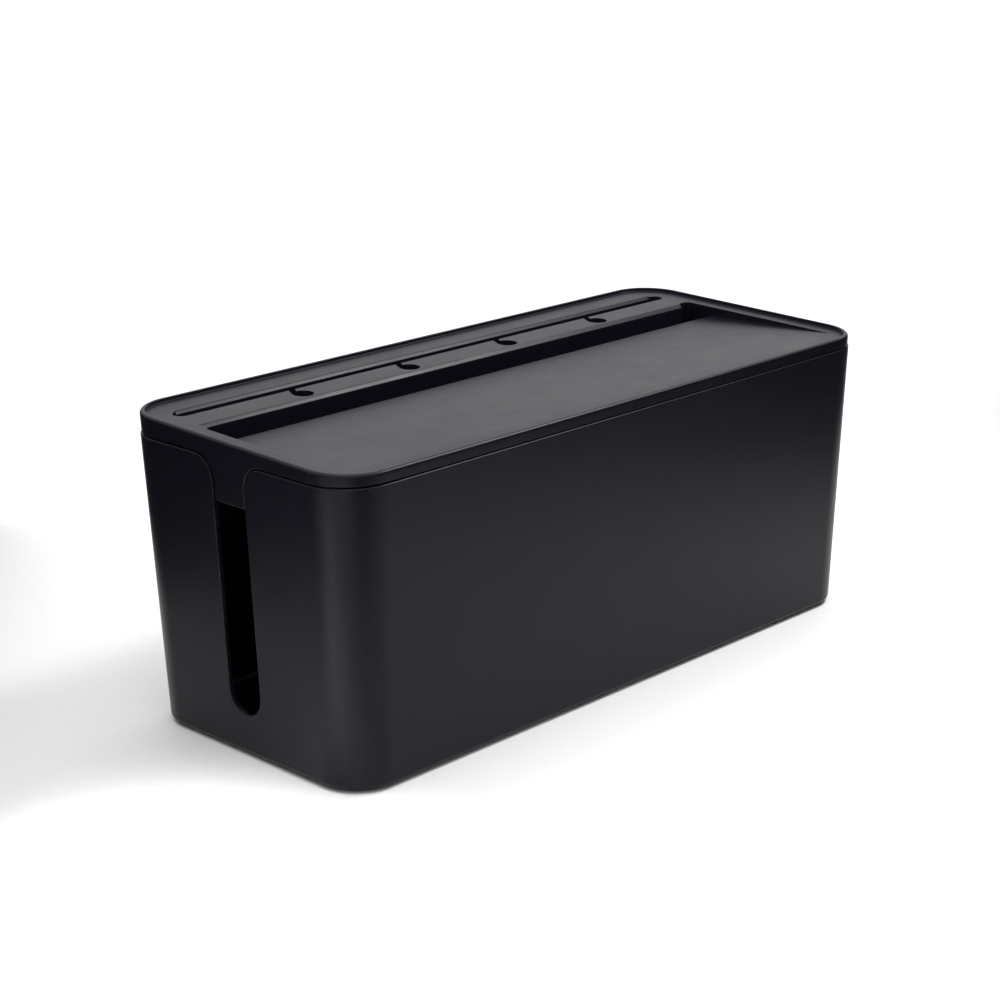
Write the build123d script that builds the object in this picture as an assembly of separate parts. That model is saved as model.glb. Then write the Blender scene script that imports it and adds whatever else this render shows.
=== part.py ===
from build123d import *
from math import sqrt
import os

# Lidded cable tray: a tall tapered tub for a power strip, and a lift-off lid that carries a
# device rest, a long lead slot and four lead hooks. Millimetres. The origin is on the floor
# under the middle of the tray, +X runs along it, +Y points to the back, +Z is up.

# ---- driving dimensions: the tub ----
LENGTH = 320.0              # along X, at the rim
WIDTH = 134.0               # along Y, at the rim
RIM_Z = 123.0               # height of the tub's rim, which is the parting line
END_DRAFT = 4.8             # how far each end leans in between the rim and the base
SIDE_DRAFT = 4.2            # the same for each long side
RIM_CORNER = 21.2           # plan radius of the corners at the rim
BASE_CORNER = 19.3          # plan radius of the corners at the base
BASE_ROUND = 2.5            # radius along the outside bottom edge
WALL = 2.4                  # wall thickness of the tub
FLOOR = 2.6                 # floor thickness of the tub
FLOOR_ROUND = 3.0           # radius along the inside bottom edge
EDGE_ROUND = 0.5            # small radius on the tub's open edges

# ---- driving dimensions: the cable slot in each end ----
SLOT_WIDTH = 18.8
SLOT_FLOOR_Z = 18.5         # lowest point of the slot's round bottom
SHOULDER_RADIUS = 10.0      # round shoulders where the slot runs out into the rim

# ---- driving dimensions: the feet ----
FOOT_RADIUS = 7.0
FOOT_PROUD = 1.0            # how far each foot stands out below the tub
FOOT_SUNK = 0.9             # depth of the foot's seat in the floor
FOOT_CLEARANCE = 0.2        # radial gap between a foot and the wall of its seat
FOOT_ROUND = 0.4
FOOT_FROM_END = 34.0        # foot centre, inwards from the base's end
FOOT_FROM_SIDE = 22.0       # foot centre, inwards from the base's long side

# ---- driving dimensions: the lid ----
LID_RISE_BACK = 9.4         # lid height above the rim at the back
LID_RISE_FRONT = 5.2        # lid height above the rim at the front: the top slopes forwards
LID_INSET = 0.55            # how far the lid's side stands inside the tub's outside face
LID_WALL = 2.4
LID_TOP_ROUND = 1.4         # radius along the lid's outside top edge
LID_GAP = 0.6               # shadow gap between the lid and the tub, and round the end tabs
LID_EDGE_ROUND = 0.8        # radius along the lid's bottom outside edge
LIP_WIDTH = 2.2             # raised lip round the lid's top
LIP_HEIGHT = 1.5            # the deck lies this far below the lip
DECK = 2.2                  # thickness of the deck
SEAT_INSET = 1.5            # the lid's seat on the rim starts this far inside the tub's outside face
GUIDE_DEPTH = 7.0           # the guide rim under the lid reaches this far into the tub
GUIDE_WALL = 1.6
GUIDE_CLEARANCE = 0.4       # gap between the guide rim and the tub's inside
TAB_DEPTH = 17.8            # each end tab closes the slot down to this far below the rim
TAB_BACKING = 4.0           # the tab's backing is wider than the slot by this much each side

# ---- driving dimensions: the device rest in the lid ----
REST_FROM_END = 10.2        # ends of the rest, inwards from the tub's ends
REST_FROM_FRONT = 13.5      # the sloping panel leaves the deck this far behind the tub's front
PANEL_DROP = 4.9            # depth of the panel's back edge under the deck
GROOVE_FROM_BACK = 38.8     # back wall of the groove, forwards from the tub's back
GROOVE_WIDTH = 10.7         # gap that a device's lower edge stands in
GROOVE_DEPTH = 16.0
GROOVE_DRAFT = 0.5          # how far each groove wall leans in at the bottom
REST_WALL = 2.0             # wall thickness of the rest's underside
REST_CORNER = 5.0
GROOVE_LIP_BEVEL = 1.4      # bevel along the groove's back top edge
NOTCH_WIDTH = 7.0           # lead notch in the groove's back right corner
NOTCH_DEPTH = 2.8
NOTCH_CORNER = 2.2

# ---- driving dimensions: the lead slot and its hooks ----
LEAD_SLOT_FROM_END = 12.5   # ends of the slot, inwards from the tub's ends
LEAD_SLOT_FROM_BACK = 20.4  # middle of the slot, forwards from the tub's back
LEAD_SLOT_WIDTH = 7.0
LEAD_SLOT_BEVEL = 1.3       # bevel along the slot's back edge
COLLAR_WALL = 1.6           # stiffening collar under the lead slot
COLLAR_DEPTH = 2.6
HOOK_COUNT = 4
HOOK_PITCH = 60.0
HOOK_RADIUS = 4.5
HOOK_FROM_SLOT = 11.0       # hook centres, forwards from the middle of the slot
HOOK_NECK = 3.2             # width of the neck from the slot to the hook's hole
NECK_LEAN = -0.3            # slope of the neck where it leaves the slot, towards -X

# ---- driving dimensions: stiffening ribs under the sloping panel ----
RIB_COUNT = 5
RIB_THICKNESS = 1.4
RIB_DEPTH = 5.0

# ---- sizes that follow ----
BASE_Z = FOOT_PROUD
TOP_SLOPE = (LID_RISE_BACK - LID_RISE_FRONT) / WIDTH
TOP_MID_Z = RIM_Z + (LID_RISE_BACK + LID_RISE_FRONT) / 2
TAB_Z = RIM_Z - TAB_DEPTH
REST_LENGTH = LENGTH - 2 * REST_FROM_END
REST_FRONT_Y = -WIDTH / 2 + REST_FROM_FRONT
GROOVE_BACK_Y = WIDTH / 2 - GROOVE_FROM_BACK
PANEL_BACK_Y = GROOVE_BACK_Y - GROOVE_WIDTH
LEAD_SLOT_LENGTH = LENGTH - 2 * LEAD_SLOT_FROM_END
LEAD_SLOT_Y = WIDTH / 2 - LEAD_SLOT_FROM_BACK
HOOK_Y = LEAD_SLOT_Y - HOOK_FROM_SLOT
BELOW = 20.0                # how far down the cutters through the deck run
ABOVE = 40.0                # how far up the cutters for the open top run
OVERRUN = 1.0               # how far a cutter runs past the face it cuts
NEAR = 0.01                 # tolerance for picking edges by their place


def tub_plan(z, inset):
    """The tub's outline at height z, moved inwards by inset."""
    below = (RIM_Z - z) / (RIM_Z - BASE_Z)
    end = END_DRAFT * below + inset
    side = SIDE_DRAFT * below + inset
    corner = RIM_CORNER - (RIM_CORNER - BASE_CORNER) * below - inset
    return Pos(0, 0, z) * RectangleRounded(LENGTH - 2 * end, WIDTH - 2 * side, corner)


def tapered(low_z, high_z, inset):
    """A solid between two heights that follows the tub's drafted sides."""
    return loft([tub_plan(low_z, inset), tub_plan(high_z, inset)], ruled=True)


def top_z(y, depth=0.0):
    """Height of the lid's sloping top at y, or of a plane parallel to it at a vertical depth."""
    return TOP_MID_Z + TOP_SLOPE * y - depth


def over_top(depth):
    """A block that fills everything above the lid's top plane lowered by depth."""
    origin = (0, 0, top_z(0, depth))
    slope_plane = Plane(origin=origin, x_dir=(1, 0, 0), z_dir=(0, -TOP_SLOPE, 1))
    return slope_plane * Box(2 * LENGTH, 2 * LENGTH, ABOVE, align=(Align.CENTER, Align.CENTER, Align.MIN))


def column(outline, low_z, high_z):
    """A plan outline extruded from one height to another."""
    return Pos(0, 0, low_z) * extrude(outline, high_z - low_z)


def lowest_face(solid):
    """The face of a solid that lies lowest."""
    return solid.faces().sort_by(Axis.Z)[0]


def slot_outline(gap, bottom_z):
    """The end slot in the YZ plane, made smaller by gap all round; a flat bottom where given."""
    half = SLOT_WIDTH / 2 - gap
    radius = SHOULDER_RADIUS + gap
    centre_y = SLOT_WIDTH / 2 + SHOULDER_RADIUS
    centre_z = RIM_Z - SHOULDER_RADIUS
    rim = centre_z + radius
    mid_y = centre_y - radius * sqrt(0.5)
    mid_z = centre_z + radius * sqrt(0.5)
    high = rim + OVERRUN
    if bottom_z is None:
        round_z = SLOT_FLOOR_Z + SLOT_WIDTH / 2
        bottom = [ThreePointArc((half, round_z), (0, round_z - half), (-half, round_z))]
    else:
        round_z = bottom_z
        bottom = [Line((half, round_z), (-half, round_z))]
    edges = [
        Line((centre_y, high), (centre_y, rim)),
        ThreePointArc((centre_y, rim), (mid_y, mid_z), (half, centre_z)),
        Line((half, centre_z), (half, round_z)),
        *bottom,
        Line((-half, round_z), (-half, centre_z)),
        ThreePointArc((-half, centre_z), (-mid_y, mid_z), (-centre_y, rim)),
        Line((-centre_y, rim), (-centre_y, high)),
        Line((-centre_y, high), (centre_y, high)),
    ]
    return Plane.YZ * make_face(Curve() + edges)


def foot_places():
    """Name and centre of each foot in plan."""
    x = LENGTH / 2 - END_DRAFT - FOOT_FROM_END
    y = WIDTH / 2 - SIDE_DRAFT - FOOT_FROM_SIDE
    return [("front_left", -x, -y), ("front_right", x, -y), ("back_left", -x, y), ("back_right", x, y)]


def make_tub():
    """The drafted tub with its two end slots and the seats for the feet."""
    shell = tapered(BASE_Z, RIM_Z, 0)
    shell = fillet(lowest_face(shell).edges(), BASE_ROUND)
    inside = tapered(BASE_Z + FLOOR, RIM_Z + OVERRUN, WALL)
    inside = fillet(lowest_face(inside).edges(), FLOOR_ROUND)
    tub = shell - inside
    tub -= extrude(slot_outline(0, None), LENGTH, both=True)
    for _, x, y in foot_places():
        seat = Cylinder(FOOT_RADIUS, FOOT_SUNK, align=(Align.CENTER, Align.CENTER, Align.MIN))
        tub -= Pos(x, y, BASE_Z) * seat
    open_edges = [e for e in tub.edges() if is_open_edge(e)]
    return fillet(open_edges, EDGE_ROUND)


def is_open_edge(edge):
    """Whether an edge runs along the rim or round an end slot, inside or outside."""
    box = edge.bounding_box()
    along_rim = box.min.Z > RIM_Z - NEAR
    at_an_end = min(abs(box.min.X), abs(box.max.X)) > LENGTH / 2 - END_DRAFT - 2 * WALL
    in_slot = max(abs(box.min.Y), abs(box.max.Y)) < SLOT_WIDTH / 2 + SHOULDER_RADIUS + NEAR
    across_wall = box.size.X > WALL - NEAR and box.size.Z < NEAR
    down_slot = at_an_end and in_slot and box.size.Z > NEAR
    return (along_rim and not across_wall) or down_slot


def make_foot(x, y):
    """A round rubber foot with an eased bottom edge."""
    height = FOOT_PROUD + FOOT_SUNK
    disc = Cylinder(FOOT_RADIUS - FOOT_CLEARANCE, height, align=(Align.CENTER, Align.CENTER, Align.MIN))
    disc = fillet(lowest_face(disc).edges(), FOOT_ROUND)
    return Pos(x, y, 0) * disc


def lid_block():
    """The lid's outside as a solid block: sloping top, skirt and the two end tabs, all edges eased."""
    low = RIM_Z + LID_GAP
    block = tapered(TAB_Z, RIM_Z + ABOVE, LID_INSET) - over_top(0)
    under = Pos(0, 0, low) * Box(2 * LENGTH, 2 * WIDTH, ABOVE, align=(Align.CENTER, Align.CENTER, Align.MAX))
    block -= under - extrude(slot_outline(LID_GAP, TAB_Z), LENGTH, both=True)
    block = fillet(block.faces().sort_by(Axis.Z)[-1].edges(), LID_TOP_ROUND)
    return fillet([e for e in block.edges() if is_skirt_edge(e)], LID_EDGE_ROUND)


def is_skirt_edge(edge):
    """Whether an edge is on the outside of the skirt's bottom or round an end tab."""
    box = edge.bounding_box()
    low = box.max.Z < RIM_Z + LID_GAP + NEAR
    between_shoulders = max(abs(box.min.Y), abs(box.max.Y)) < SLOT_WIDTH / 2 + SHOULDER_RADIUS + NEAR
    runs_inwards = box.size.X > LENGTH / 2 and between_shoulders
    return low and not runs_inwards


def lid_shell():
    """The lid's skirt, tabs and deck, with the raised lip, as one hollow cap."""
    cap = lid_block()
    lip = tapered(RIM_Z, RIM_Z + ABOVE, LID_INSET + LIP_WIDTH)
    cap -= lip & over_top(LIP_HEIGHT)
    room = tapered(TAB_Z - OVERRUN, RIM_Z + ABOVE, LID_INSET + LID_WALL)
    return cap - (room - over_top(LIP_HEIGHT + DECK))


def lid_seat():
    """The ledge that rests on the rim, and the guide rim that drops inside the tub."""
    under_deck = LIP_HEIGHT + DECK / 2
    guide = WALL + GUIDE_CLEARANCE
    inside = tapered(TAB_Z - OVERRUN, RIM_Z + ABOVE, guide + GUIDE_WALL)
    ledge = tapered(RIM_Z, RIM_Z + ABOVE, SEAT_INSET) - inside
    rim = tapered(RIM_Z - GUIDE_DEPTH, RIM_Z + ABOVE, guide) - inside
    backing_width = SLOT_WIDTH + 2 * TAB_BACKING
    backing = tapered(TAB_Z, RIM_Z, guide) - inside
    backing &= Pos(0, 0, RIM_Z) * Box(2 * LENGTH, backing_width, 2 * ABOVE)
    return (ledge + rim) - over_top(under_deck) + backing


def rest_profile():
    """The device rest's section in the YZ plane: sloping panel, groove and back wall."""
    deck = LIP_HEIGHT
    floor_z = top_z(GROOVE_BACK_Y, deck + GROOVE_DEPTH)
    high = RIM_Z + ABOVE
    points = [
        (REST_FRONT_Y, top_z(REST_FRONT_Y, deck)),
        (PANEL_BACK_Y, top_z(PANEL_BACK_Y, deck + PANEL_DROP)),
        (PANEL_BACK_Y + GROOVE_DRAFT, floor_z),
        (GROOVE_BACK_Y - GROOVE_DRAFT, floor_z),
        (GROOVE_BACK_Y, top_z(GROOVE_BACK_Y, deck)),
        (GROOVE_BACK_Y, high),
        (REST_FRONT_Y, high),
    ]
    return make_face(Polyline(*points, close=True)), floor_z


def rest_outline(grow):
    """The device rest in plan, with the lead notch in its back right corner."""
    half = REST_LENGTH / 2 + grow
    front = REST_FRONT_Y - grow
    back = GROOVE_BACK_Y + grow
    body = make_face(Polyline((-half, front), (half, front), (half, back), (-half, back), close=True))
    rear = body.vertices().filter_by(lambda v: v.Y > back - NEAR and v.X < 0)
    return fillet(rear, REST_CORNER + grow)


def notch_outline(grow):
    """The lead notch in plan, reaching forwards into the groove."""
    half_width = NOTCH_WIDTH / 2 + grow
    depth = NOTCH_DEPTH + REST_CORNER + grow
    x = REST_LENGTH / 2 - NOTCH_WIDTH / 2
    y = GROOVE_BACK_Y + NOTCH_DEPTH + grow - depth / 2
    return Pos(x, y) * RectangleRounded(2 * half_width, depth, NOTCH_CORNER)


def rest_cutter():
    """Everything the device rest takes out of the lid."""
    profile, floor_z = rest_profile()
    high = RIM_Z + ABOVE
    body = extrude(Plane.YZ * profile, LENGTH, both=True)
    body &= column(rest_outline(0), floor_z - OVERRUN, high)
    return body + column(notch_outline(0), floor_z, high)


def rest_basin():
    """The underside of the device rest, before the rest itself is cut."""
    profile, floor_z = rest_profile()
    body = extrude(Plane.YZ * offset(profile, REST_WALL), LENGTH, both=True)
    body &= column(rest_outline(REST_WALL), floor_z - 2 * REST_WALL, RIM_Z + ABOVE)
    body += column(notch_outline(REST_WALL), floor_z - REST_WALL, RIM_Z + ABOVE)
    return body - over_top(LIP_HEIGHT)


def panel_ribs():
    """Stiffening ribs under the sloping panel, from the lid's front wall to the groove."""
    span_y = PANEL_BACK_Y - (-WIDTH / 2 + LID_INSET + LID_WALL / 2)
    mid_y = PANEL_BACK_Y - span_y / 2
    low_z = RIM_Z - RIB_DEPTH
    ribs = Part()
    pitch = REST_LENGTH / (RIB_COUNT + 1)
    for index in range(RIB_COUNT):
        x = (index - (RIB_COUNT - 1) / 2) * pitch
        rib = Box(RIB_THICKNESS, span_y, ABOVE, align=(Align.CENTER, Align.CENTER, Align.MIN))
        ribs += Pos(x, mid_y, low_z) * rib
    inside = tapered(low_z, RIM_Z + ABOVE, WALL + GUIDE_CLEARANCE + GUIDE_WALL / 2)
    return (ribs & inside) - over_top(LIP_HEIGHT + DECK / 2)


def hook_outline(x):
    """One lead hook in plan: a round hole with a neck that comes down its left side."""
    hole = Pos(x, HOOK_Y) * Circle(HOOK_RADIUS)
    side = HOOK_RADIUS - HOOK_NECK / 2
    start = (x + side / 2, LEAD_SLOT_Y)
    bend = (x - side / 2, HOOK_Y + HOOK_RADIUS)
    end = (x - side, HOOK_Y)
    path = Spline(start, bend, end, tangents=[(NECK_LEAN, -1), (0, -1)])
    return hole + trace(path, HOOK_NECK)


def lead_cutters():
    """The long lead slot and its hooks, cut straight down."""
    outline = Pos(0, LEAD_SLOT_Y) * SlotOverall(LEAD_SLOT_LENGTH, LEAD_SLOT_WIDTH)
    for index in range(HOOK_COUNT):
        outline += hook_outline((index - (HOOK_COUNT - 1) / 2) * HOOK_PITCH)
    return column(outline, RIM_Z - BELOW, RIM_Z + ABOVE)


def lead_collar():
    """The stiffening collar round the lead slot, under the deck."""
    outline = Pos(0, LEAD_SLOT_Y) * SlotOverall(
        LEAD_SLOT_LENGTH + 2 * COLLAR_WALL, LEAD_SLOT_WIDTH + 2 * COLLAR_WALL
    )
    block = column(outline, RIM_Z - BELOW, RIM_Z + ABOVE)
    return (block & over_top(LIP_HEIGHT + DECK + COLLAR_DEPTH)) - over_top(LIP_HEIGHT + DECK / 2)


def back_bevel(y, length, size):
    """A bevel cutter along a back edge of the deck that runs in X."""
    z = top_z(y, LIP_HEIGHT)
    front = y - OVERRUN
    high = z + OVERRUN
    points = [(y, z - size), (y + size, z), (y + size, high), (front, high), (front, z - size)]
    corner = make_face(Polyline(*points, close=True))
    return extrude(Plane.YZ * corner, length / 2, both=True)


def make_lid():
    """The lift-off lid with its device rest, lead slot and hooks."""
    lid = lid_shell() + lid_seat() + lead_collar()
    lid += panel_ribs()
    lid += rest_basin()
    lid -= rest_cutter()
    lid -= lead_cutters()
    lid -= back_bevel(LEAD_SLOT_Y + LEAD_SLOT_WIDTH / 2, LEAD_SLOT_LENGTH - LEAD_SLOT_WIDTH, LEAD_SLOT_BEVEL)
    lid -= back_bevel(GROOVE_BACK_Y, REST_LENGTH - 2 * (REST_CORNER + NOTCH_WIDTH), GROOVE_LIP_BEVEL)
    return lid


def main():
    """Make every piece and write one STEP file for each."""
    os.makedirs("parts", exist_ok=True)
    pieces = {"tub": make_tub(), "lid": make_lid()}
    for name, x, y in foot_places():
        pieces["foot_" + name] = make_foot(x, y)
    for name, piece in pieces.items():
        export_step(piece, os.path.join("parts", name + ".step"))
        print(name, len(piece.solids()), "solid", round(piece.volume / 1000, 2), "cm3")


main()
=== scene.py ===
"""Looks of the lidded cable tray: the moulded tub, the lift-off lid, the feet and the studio round them."""

import logging
import math
from collections.abc import Callable
from dataclasses import dataclass, field
from enum import Enum

import bmesh
import bpy
from mathutils import Matrix, Vector


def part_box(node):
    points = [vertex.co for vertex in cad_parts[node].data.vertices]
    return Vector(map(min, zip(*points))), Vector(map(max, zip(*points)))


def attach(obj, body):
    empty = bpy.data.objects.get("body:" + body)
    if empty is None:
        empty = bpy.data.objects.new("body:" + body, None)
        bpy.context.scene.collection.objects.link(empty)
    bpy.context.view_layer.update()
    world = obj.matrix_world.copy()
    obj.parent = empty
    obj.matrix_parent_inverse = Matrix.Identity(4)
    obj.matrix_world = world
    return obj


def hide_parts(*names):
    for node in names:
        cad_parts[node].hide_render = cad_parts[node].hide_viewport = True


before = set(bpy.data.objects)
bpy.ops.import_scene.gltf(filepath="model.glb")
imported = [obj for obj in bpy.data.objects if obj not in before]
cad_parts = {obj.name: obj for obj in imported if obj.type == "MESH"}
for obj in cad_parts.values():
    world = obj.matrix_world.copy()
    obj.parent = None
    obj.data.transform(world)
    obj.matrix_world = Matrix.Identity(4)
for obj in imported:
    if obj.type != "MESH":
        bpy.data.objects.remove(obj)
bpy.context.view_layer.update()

log = logging.getLogger("cable_tray")
MM = 0.001
REACH = 40 * MM  # how far a cutter runs past what it cuts
NEAR = 0.01 * MM  # tolerance for picking edges and faces by their place
NEAR_WALL = 0.1 * MM  # overlap between pieces that are joined
MERGE = 0.001 * MM  # points closer than this are one
ROUND_SIDES = 64  # sides of a full circle
CORNER_STEPS = 20  # strips round each corner of an outline
ARC_STEPS = 12  # strips round a quarter circle in a cut-out
ROUND_STEPS = 5  # strips across a rounded edge
EDGE_STEPS = 3  # strips across an eased edge
NECK_STEPS = 10  # steps along the neck of a lead hook
NECK_START = 0.76  # how fast the neck leans as it leaves the slot
DISH_TAPER = 0.96  # how much the floor of a foot's dish is smaller than its mouth
NECK_LEAN = 1.5  # how far the neck leans, in widths between its middle and the hole's
BAR_SIDE = 3.0  # side of the bar that cuts a bevel, in widths of the bevel
BEVEL_START = 1 / 3  # where the groove's bevel starts, in radii of its corner
SHARP_ANGLE = 30.0  # edges sharper than this, in degrees, are eased
FLAT_ANGLE = 0.3  # faces that turn less than this, in degrees, are joined into one
CUT_ANGLE = 0.05  # the same for what cuts leave behind
LEVEL = 0.9  # a face whose normal has a larger Z than this lies level
FACE_WEIGHT = 100  # how much the larger of two faces decides the shading at their edge
MIDDLE = 0.5  # mean of a noise
DISH_ROUND = 1 / 3  # radius of a dish's edges, in shares of its depth
DISH_STEPS = 2  # strips across them
FEET = ("foot_front_left", "foot_front_right", "foot_back_left", "foot_back_right")
Place = Vector | tuple[float, float, float]
Element = bmesh.types.BMEdge | bmesh.types.BMFace
Test = Callable[[Vector, Vector], bool]


# ---- shader maths


class Sock:
    """A shader socket that can be used in Python expressions."""

    def __init__(self, shader: "Shader", socket: bpy.types.NodeSocket) -> None:
        """Keep the socket with the shader that its maths nodes are added to."""
        self.shader = shader
        self.socket = socket

    def _math(self, operation: str, *values: "Sock | float") -> "Sock":
        """Add one Math node with sockets or numbers for its inputs."""
        return self.shader.node("ShaderNodeMath", {"operation": operation}, dict(enumerate(values)))

    def __add__(self, other: "Sock | float") -> "Sock":
        """self + other."""
        return self._math("ADD", self, other)

    def __radd__(self, other: float) -> "Sock":
        """other + self."""
        return self._math("ADD", other, self)

    def __sub__(self, other: "Sock | float") -> "Sock":
        """self - other."""
        return self._math("SUBTRACT", self, other)

    def __rsub__(self, other: float) -> "Sock":
        """other - self."""
        return self._math("SUBTRACT", other, self)

    def __mul__(self, other: "Sock | float") -> "Sock":
        """self * other."""
        return self._math("MULTIPLY", self, other)

    def __rmul__(self, other: float) -> "Sock":
        """other * self."""
        return self._math("MULTIPLY", other, self)

    def above(self, edge: float, width: float) -> "Sock":
        """A smooth step from 0 to 1 over width, centred on edge."""
        settings = {"interpolation_type": "SMOOTHSTEP"}
        values = {"Value": self, "From Min": edge - width / 2, "From Max": edge + width / 2}
        return self.shader.node("ShaderNodeMapRange", settings, values)


class Shader:
    """A material being built: one method adds any node."""

    def __init__(self, name: str) -> None:
        """Start an empty node material with a Principled shader and an output."""
        self.material = bpy.data.materials.new(name)
        self.material.use_nodes = True
        self.tree = self.material.node_tree
        self.tree.nodes.clear()
        self.surface = self.tree.nodes.new("ShaderNodeBsdfPrincipled")
        output = self.tree.nodes.new("ShaderNodeOutputMaterial")
        self.tree.links.new(self.surface.outputs["BSDF"], output.inputs["Surface"])

    def node(self, kind: str, settings: dict, values: dict, output: int | str = 0) -> Sock:
        """Add a node.

        Args:
            kind: the node's type.
            settings: attributes set first.
            values: numbers, colours or sockets for its inputs.
            output: which output to return.

        Returns:
            The chosen output.
        """
        made = self.tree.nodes.new(kind)
        for name, value in settings.items():
            setattr(made, name, value)
        for name, value in values.items():
            self._feed(made.inputs[name], value)
        return Sock(self, made.outputs[output])

    def _feed(self, target: bpy.types.NodeSocket, value: object) -> None:
        """Link a socket, or set its own value."""
        if isinstance(value, Sock):
            self.tree.links.new(value.socket, target)
        else:
            target.default_value = value

    def set(self, **values: object) -> None:
        """Feed the Principled shader's inputs, named with _ for a space."""
        for name, value in values.items():
            self._feed(self.surface.inputs[name.replace("_", " ")], value)

    def place(self) -> Sock:
        """The point on the surface in the piece's own coordinates, in metres."""
        return self.node("ShaderNodeTexCoord", {}, {}, "Object")

    def noise(self, size: float, detail: float = 2.0, roughness: float = 0.5) -> Sock:
        """Noise from 0 to 1 with features of a size in metres."""
        values = {"Vector": self.place(), "Scale": 1 / size, "Detail": detail, "Roughness": roughness}
        return self.node("ShaderNodeTexNoise", {}, values, "Fac")

    def blend(self, factor: Sock, low: tuple, high: tuple) -> Sock:
        """Mix two RGBA colours, from low at 0 to high at 1."""
        return self.node("ShaderNodeMix", {"data_type": "RGBA"}, {0: factor, 6: low, 7: high}, 2)

    def bump(self, height: Sock, distance: float, base: Sock | None = None) -> Sock:
        """A normal bent by a height, where 1 stands for a distance in metres."""
        values = {"Height": height, "Distance": distance, "Strength": 1.0}
        if base is not None:
            values["Normal"] = base
        return self.node("ShaderNodeBump", {}, values)


def grey(level: float, blue: float = 0.0) -> tuple[float, float, float, float]:
    """A linear grey whose blue is raised by a share."""
    return (level, level, level * (1 + blue), 1.0)


@dataclass(frozen=True)
class MouldedPlastic:
    """Black injection-moulded plastic with a fine spark-eroded grain.

    Attributes:
        name: the material's name.
        colour: linear grey of the plastic.
        blue: how much more blue it has, as a share of the grey.
        shade: the darkest and the lightest tone, in shares of the colour.
        roughness: mean roughness of the grained face.
        specular: specular level.
        flow_size: width of the flow marks.
        handling_size: width of the marks that handling leaves.
        handling_roughness: how far the handling marks change the roughness.
        flow_roughness: how far the flow marks change it.
        dust_size: width of a speck of dust.
        dust_level: the noise level above which there is dust.
        dust_edge: width of a speck's edge, in noise levels.
        dust_roughness: how far the dust changes the roughness.
        grain_size: width of one grain.
        grain_height: height of the grain.
        wave_size: width of the faint waves in the walls.
        wave_height: height of the waves.
    """

    name: str
    colour: float = 0.004
    blue: float = 1.1
    shade: tuple[float, float] = (0.85, 1.2)
    roughness: float = 0.35
    specular: float = 0.18
    flow_size: float = 50.0 * MM
    handling_size: float = 12.0 * MM
    handling_roughness: float = 0.10
    flow_roughness: float = 0.06
    dust_size: float = 1.6 * MM
    dust_level: float = 0.72
    dust_edge: float = 0.08
    dust_roughness: float = 0.06
    grain_size: float = 0.6 * MM
    grain_height: float = 0.01 * MM
    wave_size: float = 30.0 * MM
    wave_height: float = 0.12 * MM

    def make(self) -> bpy.types.Material:
        """Build the material."""
        shader = Shader(self.name)
        flow = shader.noise(self.flow_size, 3.0)
        handling = shader.noise(self.handling_size, 4.0, 0.6)
        grain = shader.noise(self.grain_size)
        waves = shader.noise(self.wave_size, 1.0)
        dust = shader.noise(self.dust_size, 2.0, 0.7).above(self.dust_level, self.dust_edge)
        low, high = (grey(self.colour * share, self.blue) for share in self.shade)
        marks = (handling - MIDDLE) * self.handling_roughness + (flow - MIDDLE) * self.flow_roughness
        shader.set(
            Base_Color=shader.blend((flow + handling) * 0.5, low, high),
            Roughness=self.roughness + marks + dust * self.dust_roughness,
            Specular_IOR_Level=self.specular,
            Normal=shader.bump(waves, self.wave_height, shader.bump(grain, self.grain_height)),
        )
        return shader.material


@dataclass(frozen=True)
class FootRubber:
    """Soft matt rubber with a fine speckle.

    Attributes:
        name: the material's name.
        shade: its darkest and its lightest grey.
        roughness: its lowest roughness.
        roughness_range: how far the speckle raises it.
        specular: specular level.
        speckle_size: width of a speckle.
        speckle_height: height of a speckle.
    """

    name: str = "foot_rubber"
    shade: tuple[float, float] = (0.012, 0.026)
    roughness: float = 0.75
    roughness_range: float = 0.15
    specular: float = 0.3
    speckle_size: float = 0.8 * MM
    speckle_height: float = 0.03 * MM

    def make(self) -> bpy.types.Material:
        """Build the material."""
        shader = Shader(self.name)
        speckle = shader.noise(self.speckle_size, 3.0, 0.6)
        shader.set(
            Base_Color=shader.blend(speckle, grey(self.shade[0]), grey(self.shade[1])),
            Roughness=self.roughness + speckle * self.roughness_range,
            Specular_IOR_Level=self.specular,
            Normal=shader.bump(speckle, self.speckle_height),
        )
        return shader.material


@dataclass(frozen=True)
class StudioPaper:
    """Matt paper for the floor and the cards.

    Attributes:
        name: the material's name.
        shade: its darkest and its lightest grey.
        fibre_size: width of its fibres.
        roughness: its roughness.
        specular: specular level.
    """

    name: str
    shade: tuple[float, float]
    fibre_size: float
    roughness: float = 0.9
    specular: float = 0.1

    def make(self) -> bpy.types.Material:
        """Build the material."""
        shader = Shader(self.name)
        fibre = shader.noise(self.fibre_size)
        shader.set(
            Base_Color=shader.blend(fibre, grey(self.shade[0]), grey(self.shade[1])),
            Roughness=self.roughness,
            Specular_IOR_Level=self.specular,
        )
        return shader.material


# ---- studio


@dataclass(frozen=True)
class Card:
    """A dark card that stands on the floor, for the sides of the tray to reflect.

    Attributes:
        name: the card's name.
        across: its left and right edges as the camera sees them, from the middle of the floor.
        along: its near and far edges in the camera's direction.
        height: how high it stands.
    """

    name: str
    across: tuple[float, float]
    along: tuple[float, float]
    height: float


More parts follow.
